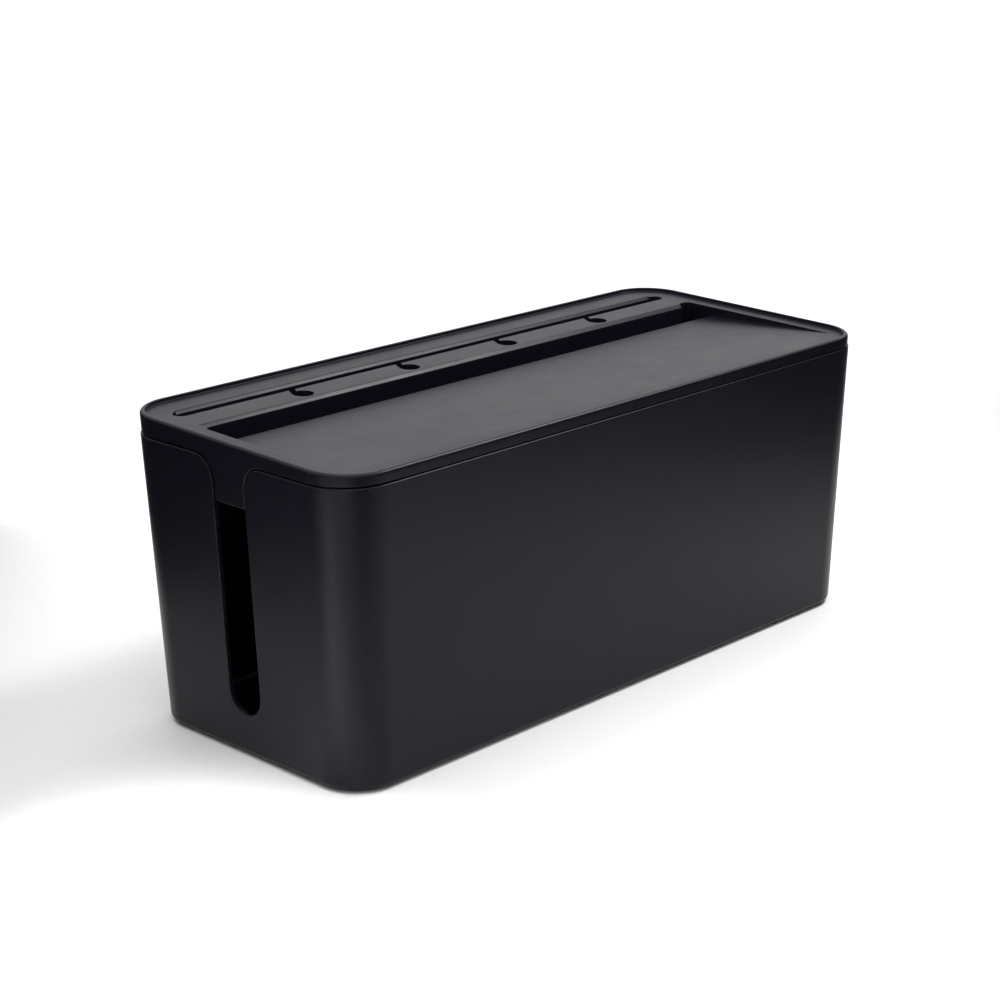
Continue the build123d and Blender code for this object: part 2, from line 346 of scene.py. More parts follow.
@dataclass(frozen=True)
class SoftBox:
    """A rectangular soft box.

    Attributes:
        name: the light's name.
        size: its width and its height.
        watts: its power.
    """

    name: str
    size: tuple[float, float]
    watts: float

    def hang(self, place: Vector, turn: Matrix) -> bpy.types.AreaLight:
        """Hang the light.

        Args:
            place: its centre.
            turn: its rotation, from facing straight down.

        Returns:
            The light's settings.
        """
        data = bpy.data.lights.new(self.name, "AREA")
        data.shape = "RECTANGLE"
        data.size, data.size_y = self.size
        data.energy = self.watts
        light = bpy.data.objects.new(self.name, data)
        light.matrix_world = Matrix.Translation(place) @ turn
        bpy.context.scene.collection.objects.link(light)
        return data


@dataclass
class Studio:
    """Pale floor, soft lights and the camera, in metres.

    Attributes:
        camera_place: camera position.
        yaw: camera heading in radians, from +Y towards +X.
        pitch: how far it looks down, in radians.
        roll: lean of the horizon in radians.
        lens: focal length in mm on a 36 mm sensor.
        floor_size: width of the floor.
        sun_strength: overhead light in watts per square metre.
        sun_angle: how wide the overhead light is, in degrees.
        cards: the dark cards round the tray, all outside what the camera sees.
        edge_light: the soft box that lights the bevels from the right.
        edge_place: its centre.
        edge_target: the point that it faces.
        streak: the light that draws a streak on the floor before the near corner.
        streak_place: its place across the camera's direction, along it, and its height.
        streak_turn: how far it is turned clockwise from the camera's direction, in degrees.
        streak_spread: how wide its beam is, in degrees.
    """

    camera_place: tuple[float, float, float] = (-0.6585, -0.6345, 0.3564)
    yaw: float = 0.7947
    pitch: float = 0.3026
    roll: float = -0.0121
    lens: float = 79.46
    floor_size: float = 30.0
    sun_strength: float = 1.0
    sun_angle: float = 60.0
    cards: tuple[Card, ...] = (
        Card("card_front", (-0.02, 0.36), (-1.1, -0.315), 0.004),
        Card("card_left", (-0.36, -0.28), (-1.1, 0.20), 0.18),
        Card("card_right", (0.36, 0.44), (-1.1, 0.45), 0.30),
    )
    edge_light: SoftBox = SoftBox("edge_light", (0.16, 0.16), 3.0)
    edge_place: tuple[float, float, float] = (0.42, -0.21, 0.66)
    edge_target: tuple[float, float, float] = (-0.1, 0.02, 0.13)
    streak: SoftBox = SoftBox("floor_streak", (0.06, 0.36), 0.28)
    streak_place: tuple[float, float, float] = (-0.22, -0.31, 0.8)
    streak_turn: float = 45.0
    streak_spread: float = 12.0

    @property
    def heading(self) -> Vector:
        """The camera's direction along the floor."""
        return Vector((math.sin(self.yaw), math.cos(self.yaw), 0.0))

    @property
    def right(self) -> Vector:
        """The direction along the floor to the camera's right."""
        return Vector((math.cos(self.yaw), -math.sin(self.yaw), 0.0))

    def build(self) -> None:
        """Set up the floor, the cards, the world, the lights and the camera."""
        self._floor()
        paper = StudioPaper("dark_card", (0.02, 0.03), 3.0 * MM).make()
        for card in self.cards:
            self._stand(card, paper)
        self._world()
        self._lights()
        self._camera()

    def _camera(self) -> None:
        """Aim the camera from its heading, pitch and roll."""
        forward = self.heading * math.cos(self.pitch) - Vector((0.0, 0.0, math.sin(self.pitch)))
        above = self.right.cross(forward)
        right = self.right * math.cos(self.roll) + above * math.sin(self.roll)
        up = right.cross(forward)
        turn = Matrix((right, up, -forward)).transposed()
        data = bpy.data.cameras.new("camera")
        data.lens = self.lens
        data.sensor_width = 36.0
        data.clip_start = 0.01
        camera = bpy.data.objects.new("camera", data)
        camera.matrix_world = Matrix.Translation(self.camera_place) @ turn.to_4x4()
        bpy.context.scene.collection.objects.link(camera)
        bpy.context.scene.camera = camera

    def _floor(self) -> None:
        """Lay a wide pale floor."""
        floor = primitive(bpy.ops.mesh.primitive_plane_add, size=self.floor_size)
        floor.name = "floor"
        floor.data.materials.append(StudioPaper("pale_floor", (0.88, 0.92), 4.0 * MM).make())

    def _spot(self, across: float, along: float, height: float) -> Vector:
        """A point that lies so far to the right of the floor's middle, and so far on, for the camera."""
        return self.right * across + self.heading * along + Vector((0.0, 0.0, height))

    def _stand(self, card: Card, paper: bpy.types.Material) -> None:
        """Stand a paper card on the floor, where only the tray sees it."""
        place = self._spot(sum(card.across) / 2, sum(card.along) / 2, card.height / 2)
        turn = (0.0, 0.0, -self.yaw)
        made = primitive(bpy.ops.mesh.primitive_cube_add, size=1.0, location=place, rotation=turn)
        made.name = card.name
        made.scale = (card.across[1] - card.across[0], card.along[1] - card.along[0], card.height)
        made.visible_camera = False
        made.data.materials.append(paper)

    def _world(self) -> None:
        """Fill the room with soft white light, and show tones as they are."""
        world = bpy.data.worlds.new("soft_room")
        world.use_nodes = True
        background = world.node_tree.nodes["Background"]
        background.inputs["Color"].default_value = (1.0, 1.0, 1.0, 1.0)
        background.inputs["Strength"].default_value = 1.0
        bpy.context.scene.world = world
        bpy.context.scene.view_settings.view_transform = "Standard"

    def _lights(self) -> None:
        """Hang the overhead light and the two accents."""
        data = bpy.data.lights.new("overhead", "SUN")
        data.energy = self.sun_strength
        data.angle = math.radians(self.sun_angle)
        bpy.context.scene.collection.objects.link(bpy.data.objects.new("overhead", data))
        aim = Vector(self.edge_target) - Vector(self.edge_place)
        self.edge_light.hang(Vector(self.edge_place), aim.to_track_quat("-Z", "Y").to_matrix().to_4x4())
        turn = Matrix.Rotation(-self.yaw - math.radians(self.streak_turn), 4, "Z")
        streak = self.streak.hang(self._spot(*self.streak_place), turn)
        streak.spread = math.radians(self.streak_spread)


# ---- modelling bench


@dataclass(frozen=True)
class Outline:
    """A rounded rectangle seen from above, centred on the Z axis.

    Attributes:
        z: its height in metres.
        length: its size along X.
        width: its size along Y.
        corner: its corner radius.
    """

    z: float
    length: float
    width: float
    corner: float


class Joining(Enum):
    """What a tool piece does to the piece it meets."""

    CUT = "DIFFERENCE"
    ADD = "UNION"


def primitive(operator: Callable, **settings: object) -> bpy.types.Object:
    """Add a primitive with nothing else selected, and return it."""
    bpy.ops.object.select_all(action="DESELECT")
    operator(**settings)
    return bpy.context.object


class Workpiece:
    """A mesh that is shaped with Blender's own modelling tools."""

    def __init__(self, name: str, made: bpy.types.Object) -> None:
        """Name a primitive that was just added, and move its place into its mesh."""
        self.made = made
        made.name = name
        made.data.name = name
        bpy.ops.object.transform_apply(location=True, rotation=True, scale=True)

    @classmethod
    def box(cls, name: str, low: Place, high: Place) -> "Workpiece":
        """A box between its lowest and its highest corner."""
        low, high = Vector(low), Vector(high)
        made = primitive(bpy.ops.mesh.primitive_cube_add, size=1.0, location=(low + high) / 2)
        made.scale = high - low
        return cls(name, made)

    @classmethod
    def drum(cls, name: str, centre: Place, radius: float, height: float, axis: str = "Z") -> "Workpiece":
        """A round bar along one axis.

        Args:
            name: the piece's name.
            centre: its middle.
            radius: its radius.
            height: its length.
            axis: "X" or "Z", the way it lies.

        Returns:
            The new piece.
        """
        turn = (0.0, math.pi / 2, 0.0) if axis == "X" else (0.0, 0.0, 0.0)
        size = {"vertices": ROUND_SIDES, "radius": radius, "depth": height}
        made = primitive(bpy.ops.mesh.primitive_cylinder_add, location=centre, rotation=turn, **size)
        return cls(name, made)

    @classmethod
    def tapered(cls, name: str, low: Outline, high: Outline) -> "Workpiece":
        """A block with rounded corners whose sides run straight from one outline to another.

        Args:
            name: the piece's name.
            low: the bottom outline.
            high: the top outline.

        Returns:
            The new piece.
        """
        start = (0.0, 0.0, low.z)
        piece = cls(name, primitive(bpy.ops.mesh.primitive_plane_add, size=1.0, location=start))
        piece.edit()
        piece.shape_outline(low)
        bpy.ops.mesh.flip_normals()
        bpy.ops.mesh.select_all(action="DESELECT")
        bpy.ops.mesh.primitive_plane_add(size=1.0, location=(0.0, 0.0, high.z))
        piece.shape_outline(high)
        piece.pick_edges(lambda a, b: True)
        bpy.ops.mesh.bridge_edge_loops()
        piece.pick_faces(lambda place, normal: True)
        bpy.ops.mesh.normals_make_consistent(inside=False)
        piece.done()
        return piece

    def shape_outline(self, outline: Outline) -> None:
        """Give the selected unit square an outline's size and round its corners."""
        middle = (0.0, 0.0, outline.z)
        bpy.ops.transform.resize(value=(outline.length, outline.width, 1.0), center_override=middle)
        bpy.ops.mesh.bevel(
            offset=outline.corner, segments=CORNER_STEPS, affect="VERTICES", clamp_overlap=False
        )

    def activate(self) -> None:
        """Make this the only selected object and the active one."""
        bpy.ops.object.select_all(action="DESELECT")
        self.made.select_set(True)
        bpy.context.view_layer.objects.active = self.made

    def edit(self) -> None:
        """Open the mesh for editing."""
        self.activate()
        bpy.ops.object.mode_set(mode="EDIT")
        bpy.ops.mesh.select_mode(type="EDGE")

    def done(self) -> None:
        """Close the mesh for editing."""
        bpy.ops.object.mode_set(mode="OBJECT")

    def _pick(self, kind: str, wanted: Callable[[Element], bool]) -> int:
        """Select the edges or faces that pass a test, and nothing else.

        Args:
            kind: "EDGE" or "FACE".
            wanted: takes an edge or a face.

        Returns:
            How many are selected.
        """
        bpy.ops.mesh.select_mode(type=kind)
        bpy.ops.mesh.select_all(action="DESELECT")
        mesh = bmesh.from_edit_mesh(self.made.data)
        parts = mesh.edges if kind == "EDGE" else mesh.faces
        for part in parts:
            part.select_set(wanted(part))
        bmesh.update_edit_mesh(self.made.data)
        return sum(part.select for part in parts)

    def pick_edges(self, wanted: Test) -> int:
        """Select only the edges whose two ends pass a test, and return how many."""
        return self._pick("EDGE", lambda edge: wanted(edge.verts[0].co, edge.verts[1].co))

    def pick_faces(self, wanted: Test) -> int:
        """Select only the faces whose middle and normal pass a test, and return how many."""
        return self._pick("FACE", lambda face: wanted(face.calc_center_median(), face.normal))

    def push(self, distance: float) -> None:
        """Extrude the selected faces along Z."""
        move = {"value": (0.0, 0.0, distance)}
        bpy.ops.mesh.extrude_region_move(MESH_OT_extrude_region={}, TRANSFORM_OT_translate=move)

    def round_edges(self, wanted: Test, radius: float, steps: int) -> None:
        """Round the edges that pass a test with so many strips."""
        self.edit()
        if not self.pick_edges(wanted):
            raise ValueError(f"{self.made.name}: no edge to round")
        bpy.ops.mesh.bevel(offset=radius, segments=steps, affect="EDGES", clamp_overlap=False)
        self.done()

    def trim(self, point: Vector, normal: Vector) -> "Workpiece":
        """Cut away the side of a plane that its normal points to, close the cut and return the piece."""
        self.edit()
        bpy.ops.mesh.select_all(action="SELECT")
        bpy.ops.mesh.bisect(plane_co=point, plane_no=normal, use_fill=True, clear_outer=True)
        self.done()
        return self

    def modify(self, kind: str, **settings: object) -> None:
        """Add a modifier with its settings, and apply it."""
        self.activate()
        modifier = self.made.modifiers.new(kind.lower(), kind)
        for name, value in settings.items():
            setattr(modifier, name, value)
        bpy.ops.object.modifier_apply(modifier=modifier.name)

    def combine(self, other: "Workpiece", how: Joining) -> "Workpiece":
        """Join a tool piece to this one or take it away, use it up and return this one."""
        self.modify("BOOLEAN", operation=how.value, solver="EXACT", object=other.made)
        bpy.data.objects.remove(other.made)
        return self

    def cut(self, other: "Workpiece") -> "Workpiece":
        """Take another piece away from this one."""
        return self.combine(other, Joining.CUT)

    def add(self, other: "Workpiece") -> "Workpiece":
        """Join another piece to this one."""
        return self.combine(other, Joining.ADD)

    def merge(self) -> None:
        """Merge the doubled points that cuts leave behind and dissolve what is flat."""
        self.edit()
        bpy.ops.mesh.select_all(action="SELECT")
        bpy.ops.mesh.remove_doubles(threshold=MERGE)
        bpy.ops.mesh.dissolve_limited(angle_limit=math.radians(CUT_ANGLE))
        self.done()

    def ease(self, radius: float, steps: int, spared: Test | None = None) -> None:
        """Round every edge that is still sharp.

        Args:
            radius: the radius of the rounding.
            steps: how many strips it has.
            spared: takes an edge's two ends and says whether it stays sharp.
        """
        self.modify("TRIANGULATE")
        self.edit()

        def is_open(edge: bmesh.types.BMEdge) -> bool:
            """Whether an edge is sharp and isn't spared."""
            sharp = edge.calc_face_angle() > math.radians(SHARP_ANGLE)
            return sharp and not (spared and spared(edge.verts[0].co, edge.verts[1].co))

        self._pick("EDGE", is_open)
        bpy.ops.mesh.bevel(
            offset=radius, segments=steps, affect="EDGES", clamp_overlap=False, miter_outer="SHARP"
        )
        self.done()

    def smooth(self) -> None:
        """Clean the mesh up and smooth the shading, with flat faces kept flat."""
        self.edit()
        bpy.ops.mesh.select_all(action="SELECT")
        bpy.ops.mesh.remove_doubles(threshold=MERGE)
        bpy.ops.mesh.dissolve_degenerate(threshold=MERGE)
        bpy.ops.mesh.dissolve_limited(angle_limit=math.radians(FLAT_ANGLE), delimit=set())
        bpy.ops.mesh.quads_convert_to_tris(ngon_method="BEAUTY")
        self.done()
        self.activate()
        bpy.ops.object.shade_smooth_by_angle(angle=math.radians(SHARP_ANGLE))
        self.modify("WEIGHTED_NORMAL", keep_sharp=True, weight=FACE_WEIGHT)


# ---- the tray


@dataclass
class TrayShape:
    """The drafted outline that the tub and the lid share, taken from the frame.

    Attributes:
        end_draft: how far each end leans in between the rim and the base.
        side_draft: the same for each long side.
        rim_corner: corner radius at the rim.
        base_corner: corner radius at the base.
        slot_width: width of the cable slot in each end.
        slot_floor: lowest point of the slot's round bottom, above the floor.
        shoulder: radius where the slot runs out into the rim.
        low: the tub's lowest corner.
        high: the tub's highest corner.
    """

    end_draft: float = 4.8 * MM
    side_draft: float = 4.2 * MM
    rim_corner: float = 21.2 * MM
    base_corner: float = 19.3 * MM
    slot_width: float = 18.8 * MM
    slot_floor: float = 18.5 * MM
    shoulder: float = 10.0 * MM
    low: Vector = field(default_factory=lambda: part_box("tub")[0])
    high: Vector = field(default_factory=lambda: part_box("tub")[1])

    def outline(self, z: float, inset: float) -> Outline:
        """The tray's outline at a height, moved inwards by an inset."""
        below = (self.high.z - z) / (self.high.z - self.low.z)
        end = self.end_draft * below + inset
        side = self.side_draft * below + inset
        corner = self.rim_corner - (self.rim_corner - self.base_corner) * below - inset
        return Outline(z, 2 * (self.high.x - end), 2 * (self.high.y - side), corner)

    def block(self, name: str, low_z: float, high_z: float, inset: float) -> Workpiece:
        """A block between two heights that follows the tray's drafted sides, inset from the outside."""
        return Workpiece.tapered(name, self.outline(low_z, inset), self.outline(high_z, inset))

    def slot_bar(self, gap: float, bottom: float | None) -> Workpiece:
        """A bar along X with the end slots' section, made smaller by a gap.

        Args:
            gap: how much smaller it is all round.
            bottom: height of a flat bottom, or None for the slot's round one.

        Returns:
            The new piece.
        """
        reach = self.high.x + REACH
        half = self.slot_width / 2 - gap
        centre_y = self.slot_width / 2 + self.shoulder
        centre_z = self.high.z - self.shoulder
        radius = self.shoulder + gap
        top = centre_z + radius
        floor = self.slot_floor + gap if bottom is None else bottom
        bar = Workpiece.box("slot_bar", (-reach, -half, floor), (reach, half, top + REACH))
        if bottom is None:
            bar.round_edges(
                lambda a, b: max(a.z, b.z) < floor + NEAR and abs(a.x - b.x) > NEAR, half, ARC_STEPS
            )
        flare = Workpiece.box("slot_flare", (-reach, -centre_y, centre_z), (reach, centre_y, top + REACH))
        for side in (-1, 1):
            centre = (0.0, side * centre_y, centre_z)
            flare.cut(Workpiece.drum("shoulder", centre, radius, 2 * reach + REACH, "X"))
        return bar.add(flare)


@dataclass
class Tub:
    """The tall tapered tub, open at the top, with a cable slot in each end.

    Attributes:
        shape: the tray's outline.
        wall: wall thickness.
        floor: floor thickness.
        base_round: radius along the outside bottom edge.
        floor_round: radius along the inside bottom edge.
        edge_round: radius on the open edges.
        foot_seat: depth of each foot's seat.
        foot_radius: radius of each foot's seat.
    """

    shape: TrayShape
    wall: float = 2.4 * MM
    floor: float = 2.6 * MM
    base_round: float = 2.5 * MM
    floor_round: float = 3.0 * MM
    edge_round: float = 0.5 * MM
    foot_seat: float = 0.9 * MM
    foot_radius: float = 7.0 * MM

    def build(self) -> bpy.types.Object:
        """Model the tub and return it."""
        base = self.shape.low.z
        rim = self.shape.high.z
        tub = self.shape.block("tub_shell", base, rim, 0.0)
        tub.round_edges(lambda a, b: max(a.z, b.z) < base + NEAR, self.base_round, ROUND_STEPS)
        room_low = base + self.floor
        room = self.shape.block("tub_room", room_low, rim + REACH, self.wall)
        room.round_edges(lambda a, b: max(a.z, b.z) < room_low + NEAR, self.floor_round, ROUND_STEPS)
        tub.cut(room)
        tub.cut(self.shape.slot_bar(0.0, None))
        for name in FEET:
            low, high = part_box(name)
            middle = ((low.x + high.x) / 2, (low.y + high.y) / 2, base)
            tub.cut(Workpiece.drum("foot_seat", middle, self.foot_radius, 2 * self.foot_seat))
        tub.merge()
        tub.ease(self.edge_round, EDGE_STEPS)
        tub.smooth()
        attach(tub.made, "tub")
        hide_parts("tub")
        return tub.made


@dataclass
class Lid:
    """The lift-off lid: skirt, raised lip, deck, device rest, lead slot and hooks.

    Attributes:
        shape: the tray's outline.
        rise_back: height above the rim at the back.
        rise_front: height above the rim at the front.
        inset: how far its side stands inside the tub's outside face.
        wall: wall thickness of the skirt; not used.
        top_round: radius along the outside top edge.
        gap: shadow gap between the lid and the tub.
        skirt_round: radius along the skirt's bottom edge.
        lip_width: width of the raised lip.
        lip_height: how far the deck lies below the lip.
        deck: thickness of the deck.
        seat_inset: where the seat on the rim starts.
        guide_depth: how far the guide rim reaches into the tub.
        guide_inset: outside of the guide rim.
        guide_wall: thickness of the guide rim.
        tab_depth: how far each end tab reaches below the rim.
        tab_backing: how much wider than the slot the tab's backing is on each side.
        edge_round: radius on the open edges.
        rest_from_end: distance from each end to the device rest.
        rest_from_front: distance from the front to the device rest.
        panel_drop: how far the sloping panel sinks at its back.
        groove_from_back: distance from the back to the device groove.
        groove_width: width of the groove at the deck.
        groove_depth: depth of the groove.
        groove_draft: how far each long wall of the groove leans in.
        rest_wall: wall thickness under the device rest.
        rest_corner: radius of the groove's back left corner.
        groove_bevel: width of the bevel along the groove's back edge.
        notch_width: width of the lead notch at the groove's right end.
        notch_depth: how far the notch reaches behind the groove.
        notch_corner: radius of the notch's back corners.
        lead_from_end: distance from each end to the lead slot.
        lead_from_back: distance from the back to the middle of the lead slot.
        lead_width: width of the lead slot.
        lead_bevel: width of the bevel along the lead slot's back edge.
        collar_wall: thickness of the collar round the lead slot, under the deck.
        collar_depth: how far the collar hangs below the deck.
        hook_count: number of lead hooks.
        hook_pitch: distance between two hooks.
        hook_radius: radius of a hook's hole.
        hook_from_slot: distance from the lead slot's middle to the hole's.
        hook_neck: width of the neck that joins them.
        rib_count: number of ribs under the sloping panel.
        rib_thickness: thickness of a rib.
        rib_depth: how far the ribs hang below the rim.
    """

    shape: TrayShape
    rise_back: float = 9.39 * MM
    rise_front: float = 5.19 * MM
    inset: float = 0.55 * MM
    wall: float = 2.4 * MM
    top_round: float = 1.4 * MM
    gap: float = 0.35 * MM
    skirt_round: float = 0.8 * MM
    lip_width: float = 2.2 * MM
    lip_height: float = 1.5 * MM
    deck: float = 2.2 * MM
    seat_inset: float = 1.5 * MM
    guide_depth: float = 7.0 * MM
    guide_inset: float = 2.8 * MM
    guide_wall: float = 1.6 * MM
    tab_depth: float = 17.8 * MM
    tab_backing: float = 4.0 * MM
    edge_round: float = 0.3 * MM
    rest_from_end: float = 10.2 * MM
    rest_from_front: float = 13.5 * MM
    panel_drop: float = 4.9 * MM
    groove_from_back: float = 38.8 * MM
    groove_width: float = 10.7 * MM
    groove_depth: float = 16.0 * MM
    groove_draft: float = 0.5 * MM
    rest_wall: float = 2.0 * MM
    rest_corner: float = 5.0 * MM
    groove_bevel: float = 1.4 * MM
    notch_width: float = 7.0 * MM
    notch_depth: float = 2.8 * MM
    notch_corner: float = 2.2 * MM
    lead_from_end: float = 12.5 * MM
    lead_from_back: float = 20.4 * MM
    lead_width: float = 7.0 * MM
    lead_bevel: float = 1.3 * MM
    collar_wall: float = 1.6 * MM
    collar_depth: float = 2.6 * MM
    hook_count: int = 4
    hook_pitch: float = 60.0 * MM
    hook_radius: float = 4.5 * MM
    hook_from_slot: float = 11.0 * MM
    hook_neck: float = 3.2 * MM
    rib_count: int = 5
    rib_thickness: float = 1.4 * MM
    rib_depth: float = 5.0 * MM

    @property
    def half_width(self) -> float:
        """Half the tray's nominal width at the rim."""
        return self.shape.high.y

    @property
    def half_length(self) -> float:
        """Half the tray's nominal length at the rim."""
        return self.shape.high.x

    @property
    def slope(self) -> float:
        """Rise of the lid's top for each metre towards the back."""
        return (self.rise_back - self.rise_front) / (2 * self.half_width)

    def top_z(self, y: float, depth: float = 0.0) -> float:
        """Height of the sloping top at y, lowered by a depth."""
        middle = self.shape.high.z + (self.rise_back + self.rise_front) / 2
        return middle + self.slope * y - depth

    def trim_top(self, piece: Workpiece, depth: float, keep_below: bool = True) -> Workpiece:
        """Trim a piece at the sloping top lowered by a depth, and keep the part below or above."""
        up = Vector((0.0, -self.slope, 1.0)).normalized()
        return piece.trim(Vector((0.0, 0.0, self.top_z(0.0, depth))), up if keep_below else -up)

    def build(self) -> bpy.types.Object:
        """Model the lid and return it."""
        lid = self._outside()
        self._raise_lip(lid)
        self._add_seat(lid)
        self._hollow(lid)
        self._stiffen(lid)
        self._cut_rest(lid)
        self._cut_leads(lid)
        lid.merge()
        lid.ease(self.edge_round, EDGE_STEPS, self._on_hook)
        lid.smooth()
        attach(lid.made, "lid")
        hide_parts("lid")
        return lid.made

    def _outside(self) -> Workpiece:
        """The lid's outside as a solid block with its two end tabs."""
        rim = self.shape.high.z
        tab_z = rim - self.tab_depth
        lid = self.shape.block("lid_shell", tab_z, rim + REACH, self.inset)
        self.trim_top(lid, 0.0)
        lid.round_edges(
            lambda a, b: min(a.z - self.top_z(a.y), b.z - self.top_z(b.y)) > -NEAR,
            self.top_round,
            ROUND_STEPS,
        )
        reach = self.half_length + REACH
        under = Workpiece.box("under_skirt", (-reach, -reach, tab_z - REACH), (reach, reach, rim + self.gap))
        under.cut(self.shape.slot_bar(self.gap, tab_z - 2 * REACH))
        lid.cut(under)
        lid.merge()
        lid.round_edges(self._is_skirt_edge, self.skirt_round, ROUND_STEPS)
        return lid

    def _is_skirt_edge(self, a: Vector, b: Vector) -> bool:
        """Whether an edge runs along the skirt's bottom or round an end tab, outside.

        Args:
            a: one end of the edge.
            b: the other end.

        Returns:
            True for such an edge.
        """
        low = max(a.z, b.z) < self.shape.high.z + self.gap + NEAR
        across = abs(a.x - b.x) > self.half_length
        middle = (a + b) / 2
        outline = self.shape.outline(middle.z, self.inset)
        at_end = abs(abs(middle.x) - outline.length / 2) < NEAR_WALL
        on_tab = abs(middle.y) < self.shape.slot_width / 2 + self.shape.shoulder
        along_skirt = middle.z > self.shape.high.z + self.gap - NEAR
        return low and not across and (along_skirt or (at_end and on_tab))

    def _raise_lip(self, lid: Workpiece) -> None:
        """Sink the deck inside the raised lip."""
        lid.edit()
        lid.pick_faces(lambda place, normal: place.z > self.top_z(place.y) - NEAR and normal.z > LEVEL)
        bpy.ops.mesh.inset(thickness=self.lip_width - self.top_round, use_even_offset=True)
        lid.push(-self.lip_height)
        lid.done()

    def _add_seat(self, lid: Workpiece) -> None:
        """Add the ledge that rests on the rim, the guide rim and the tabs' backing."""
        rim = self.shape.high.z
        top = rim + self.rise_front - self.lip_height - self.deck / 2
        lid.add(self.shape.block("ledge", rim, top, self.seat_inset))
        lid.add(self.shape.block("guide_rim", rim - self.guide_depth, top - NEAR_WALL, self.guide_inset))
        backing = self.shape.block("tab_backing", rim - self.tab_depth, top - 2 * NEAR_WALL, self.guide_inset)
        half = self.shape.slot_width / 2 + self.tab_backing
        for side in (-1, 1):
            backing.trim(Vector((0.0, side * half, 0.0)), Vector((0.0, side, 0.0)))
        lid.add(backing)

    def _hollow(self, lid: Workpiece) -> None:
        """Take out the room under the deck."""
        rim = self.shape.high.z
        inner = self.guide_inset + self.guide_wall
        room = self.shape.block("lid_room", rim - self.tab_depth - REACH, rim + REACH, inner)
        lid.cut(self.trim_top(room, self.lip_height + self.deck))

    def _stiffen(self, lid: Workpiece) -> None:
        """Add the underside of the device rest, the ribs and the lead slot's collar."""
        half = self.half_length - self.rest_from_end + self.rest_wall
        front = -self.half_width + self.rest_from_front - self.rest_wall
        back = self.half_width - self.groove_from_back + self.rest_wall
        step = back - self.groove_width - 2 * self.rest_wall
        floor = self._groove_floor() - self.rest_wall
        high = floor + REACH
        panel = Workpiece.box("panel_under", (-half, front, floor), (half, step + NEAR_WALL, high))
        point, up = self._panel_plane()
        panel.trim(point - up * self.rest_wall, -up)
        groove = Workpiece.box("groove_under", (-half, step, floor), (half, back, high))
        groove.round_edges(
            lambda a, b: min(a.y, b.y) > back - NEAR and abs(a.z - b.z) > NEAR and a.x < 0,
            self.rest_corner + self.rest_wall,
            ARC_STEPS,
        )
        groove.add(self._notch(self.rest_wall, floor, high))
        for piece in (panel, groove):
            lid.add(self.trim_top(piece, self.lip_height + self.deck / 2))
        self._add_ribs(lid, step)
        collar = self._lead_bar(self.collar_wall, self.top_z(0.0) - REACH)
        self.trim_top(collar, self.lip_height + self.deck + self.collar_depth, keep_below=False)
        lid.add(self.trim_top(collar, self.lip_height + self.deck / 2))

    def _add_ribs(self, lid: Workpiece, back: float) -> None:
        """Add the ribs under the sloping panel.

        Args:
            lid: the lid.
            back: where the ribs end, at the groove.
        """
        low_z = self.shape.high.z - self.rib_depth
        front = -self.half_width + self.guide_inset + self.guide_wall / 2
        pitch = 2 * (self.half_length - self.rest_from_end) / (self.rib_count + 1)
        for index in range(self.rib_count):
            x = (index - (self.rib_count - 1) / 2) * pitch
            rib = Workpiece.box(
                "rib",
                (x - self.rib_thickness / 2, front, low_z),
                (x + self.rib_thickness / 2, back + self.rest_wall / 2, low_z + REACH),
            )
            point, up = self._panel_plane()
            rib.trim(point - up * self.rest_wall / 2, up)
            lid.add(self.trim_top(rib, self.lip_height + self.deck / 2))

    def _groove_floor(self) -> float:
        """Height of the groove's floor."""
        back = self.half_width - self.groove_from_back
        return self.top_z(back, self.lip_height + self.groove_depth)

    def _panel_plane(self) -> tuple[Vector, Vector]:
        """A point on the sloping panel and its normal."""
        front = -self.half_width + self.rest_from_front
        back = self.half_width - self.groove_from_back - self.groove_width
        high = self.top_z(front, self.lip_height)
        low = self.top_z(back, self.lip_height + self.panel_drop)
        return Vector((0.0, front, high)), Vector((0.0, high - low, back - front)).normalized()

    def _notch(self, grow: float, low_z: float, high_z: float) -> Workpiece:
        """The lead notch's plan as a block, in the groove's back right corner.

        Args:
            grow: how much larger it is all round.
            low_z: its bottom.
            high_z: its top.

        Returns:
            The block.
        """
        right = self.half_length - self.rest_from_end + grow
        left = right - self.notch_width - 2 * grow
        back = self.half_width - self.groove_from_back + self.notch_depth + grow
        front = back - self.notch_depth - self.rest_corner
        notch = Workpiece.box("notch", (left, front, low_z), (right, back, high_z))
        notch.round_edges(
            lambda a, b: min(a.y, b.y) > back - NEAR and abs(a.z - b.z) > NEAR, self.notch_corner, ARC_STEPS
        )
        return notch

